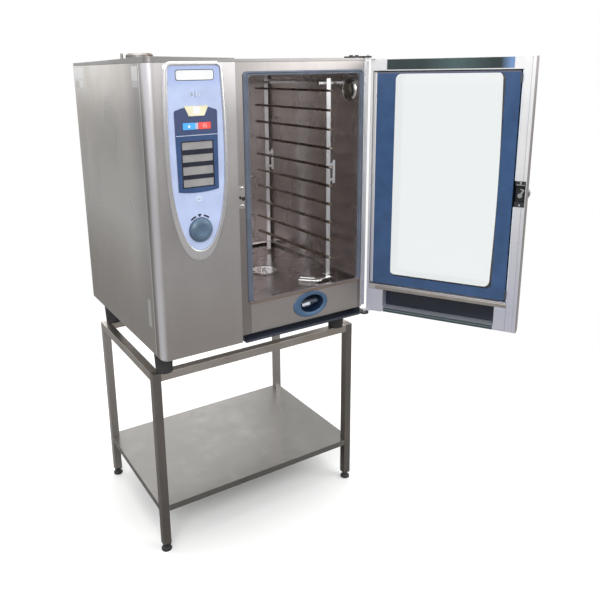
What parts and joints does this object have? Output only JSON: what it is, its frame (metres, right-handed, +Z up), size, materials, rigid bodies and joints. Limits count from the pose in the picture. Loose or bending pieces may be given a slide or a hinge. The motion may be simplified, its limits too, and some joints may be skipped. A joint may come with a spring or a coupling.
{
  "type": "combi steamer oven",
  "caption": "Floor-standing combi steamer oven with its door open, hanging pan racks in the cavity, a control column, a hand shower and an open tube stand.",
  "frame": {"origin": "on the floor plane, below the centre of the oven body's footprint", "axes": "+X right seen from the front (the door's hinge side), +Y from front to back, +Z up from the floor"},
  "size_m": [1.2175, 1.245, 1.784],
  "materials": {
    "stand_legs": "satin",
    "stand_rails": "satin",
    "stand_shelf": "satin",
    "stand_feet": "matte",
    "oven_feet": "matte",
    "base_plate": "satin",
    "left_panel": "satin",
    "right_panel": "satin",
    "rear_panel": "satin",
    "top_cover": "satin",
    "control_fascia": "satin",
    "bezel": "satin",
    "overlay_panel": "satin",
    "display_field": "gloss",
    "display_windows": "satin",
    "on_key": "satin",
    "off_key": "satin",
    "mode_key": "satin",
    "steam_key": "satin",
    "heat_key": "satin",
    "menu_key": "satin",
    "dial": "satin",
    "dial_shaft": "satin",
    "dial_encoder": "matte",
    "control_board": "satin",
    "front_frame": "satin",
    "door_gasket": "satin",
    "lower_panel": "satin",
    "drip_gutter": "satin",
    "hinge_strip": "satin",
    "striker": "satin",
    "shower_housing": "satin",
    "shower_head": "satin",
    "shower_trigger": "satin",
    "hose_reel": "matte",
    "upper_bracket": "satin",
    "lower_bracket": "satin",
    "hinge_pins": "satin",
    "vent_cap": "satin",
    "roof_post": "satin",
    "cavity_liner": "satin",
    "insulation": "matte",
    "lamp": "gloss",
    "strainer": "satin",
    "drain_pipe": "satin",
    "left_rack": "satin",
    "right_rack": "satin",
    "rack_hooks": "satin",
    "air_baffle": "satin",
    "fan_wheel": "satin",
    "fan_motor": "satin",
    "heating_coil": "satin",
    "steam_generator": "satin",
    "rear_fittings": "satin",
    "door_frame": "satin",
    "outer_glass": "gloss",
    "latch_case": "satin",
    "door_handle": "satin",
    "inner_pane": "gloss",
    "pane_border": "gloss"
  },
  "bodies": {
    "oven": {"stand_legs": "stand_legs", "stand_rails": "stand_rails", "stand_shelf": "stand_shelf", "stand_feet": "stand_feet", "oven_feet": "oven_feet", "base_plate": "base_plate", "left_panel": "left_panel", "right_panel": "right_panel", "rear_panel": "rear_panel", "top_cover": "top_cover", "control_fascia": "control_fascia", "bezel": "bezel", "overlay_panel": "overlay_panel", "display_field": "display_field", "display_windows": "display_windows", "dial_encoder": "dial_encoder", "control_board": "control_board", "front_frame": "front_frame", "door_gasket": "door_gasket", "lower_panel": "lower_panel", "drip_gutter": "drip_gutter", "hinge_strip": "hinge_strip", "striker": "striker", "shower_housing": "shower_housing", "upper_bracket": "upper_bracket", "lower_bracket": "lower_bracket", "hinge_pins": "hinge_pins", "vent_cap": "vent_cap", "roof_post": "roof_post", "cavity_liner": "cavity_liner", "insulation": "insulation", "lamp": "lamp", "drain_pipe": "drain_pipe", "rack_hooks": "rack_hooks", "air_baffle": "air_baffle", "fan_motor": "fan_motor", "heating_coil": "heating_coil", "steam_generator": "steam_generator", "rear_fittings": "rear_fittings"},
    "door": {"door_frame": "door_frame", "outer_glass": "outer_glass", "latch_case": "latch_case"},
    "pane": {"inner_pane": "inner_pane", "pane_border": "pane_border"},
    "handle": {"door_handle": "door_handle"},
    "dial_push_shaft": {"dial_shaft": "dial_shaft"},
    "dial": {"dial": "dial"},
    "shower": {"shower_head": "shower_head"},
    "trigger": {"shower_trigger": "shower_trigger"},
    "hose_reel": {"hose_reel": "hose_reel"},
    "fan": {"fan_wheel": "fan_wheel"},
    "left_rack": {"left_rack": "left_rack"},
    "right_rack": {"right_rack": "right_rack"},
    "strainer": {"strainer": "strainer"},
    "on_key": {"on_key": "on_key"},
    "off_key": {"off_key": "off_key"},
    "mode_key": {"mode_key": "mode_key"},
    "steam_key": {"steam_key": "steam_key"},
    "heat_key": {"heat_key": "heat_key"},
    "menu_key": {"menu_key": "menu_key"}
  },
  "joints": [
    {"name": "door_hinge", "type": "hinge", "parent": "oven", "child": "door", "pos_m": [0.4345, -0.337, 1.275], "axis": [0, 0, 1], "range_deg": [-120, 60]},
    {"name": "pane_hinge", "type": "hinge", "parent": "door", "child": "pane", "pos_m": [0.45903, -0.35748, 1.315], "axis": [0, 0, -1], "range_deg": [0, 90]},
    {"name": "handle_turn", "type": "hinge", "parent": "door", "child": "handle", "pos_m": [0.74794, -0.78189, 1.292], "axis": [-0.866, -0.5, 0], "range_deg": [0, 40]},
    {"name": "dial_push", "type": "slide", "parent": "oven", "child": "dial_push_shaft", "axis": [0, 1, 0], "range_m": [0, 0.002], "stiffness_N_per_m": 800},
    {"name": "dial_spin", "type": "hinge", "parent": "dial_push_shaft", "child": "dial", "pos_m": [-0.275, -0.396, 1.234], "axis": [0, 1, 0], "continuous": true},
    {"name": "shower_pull", "type": "slide", "parent": "oven", "child": "shower", "axis": [0, -1, 0], "range_m": [0, 0.06]},
    {"name": "shower_lever", "type": "hinge", "parent": "shower", "child": "trigger", "pos_m": [0.1525, -0.3325, 0.876], "axis": [0, 0, 1], "range_deg": [0, 6], "stiffness_Nm_per_rad": 0.05},
    {"name": "reel_spin", "type": "hinge", "parent": "oven", "child": "hose_reel", "pos_m": [0.1845, -0.141, 0.854], "axis": [0, 0, 1], "range_deg": [0, 100]},
    {"name": "fan_spin", "type": "hinge", "parent": "oven", "child": "fan", "pos_m": [-0.095, -0.014, 1.318], "axis": [1, 0, 0], "continuous": true},
    {"name": "left_rack_lift", "type": "slide", "parent": "oven", "child": "left_rack", "axis": [0, 0, 1], "range_m": [0, 0.012]},
    {"name": "right_rack_lift", "type": "slide", "parent": "oven", "child": "right_rack", "axis": [0, 0, 1], "range_m": [0, 0.012]},
    {"name": "strainer_lift", "type": "slide", "parent": "oven", "child": "strainer", "axis": [0, 0, 1], "range_m": [0, 0.03]},
    {"name": "on_key_press", "type": "slide", "parent": "oven", "child": "on_key", "axis": [0, 1, 0], "range_m": [0, 0.001], "stiffness_N_per_m": 400},
    {"name": "off_key_press", "type": "slide", "parent": "oven", "child": "off_key", "axis": [0, 1, 0], "range_m": [0, 0.001], "stiffness_N_per_m": 400},
    {"name": "mode_key_press", "type": "slide", "parent": "oven", "child": "mode_key", "axis": [0, 1, 0], "range_m": [0, 0.001], "stiffness_N_per_m": 400},
    {"name": "steam_key_press", "type": "slide", "parent": "oven", "child": "steam_key", "axis": [0, 1, 0], "range_m": [0, 0.001], "stiffness_N_per_m": 400},
    {"name": "heat_key_press", "type": "slide", "parent": "oven", "child": "heat_key", "axis": [0, 1, 0], "range_m": [0, 0.001], "stiffness_N_per_m": 400},
    {"name": "menu_key_press", "type": "slide", "parent": "oven", "child": "menu_key", "axis": [0, 1, 0], "range_m": [0, 0.001], "stiffness_N_per_m": 400}
  ],
  "couplings": [
    {"joint": "reel_spin", "follows": "shower_pull", "rad_per_m": 27}
  ]
}
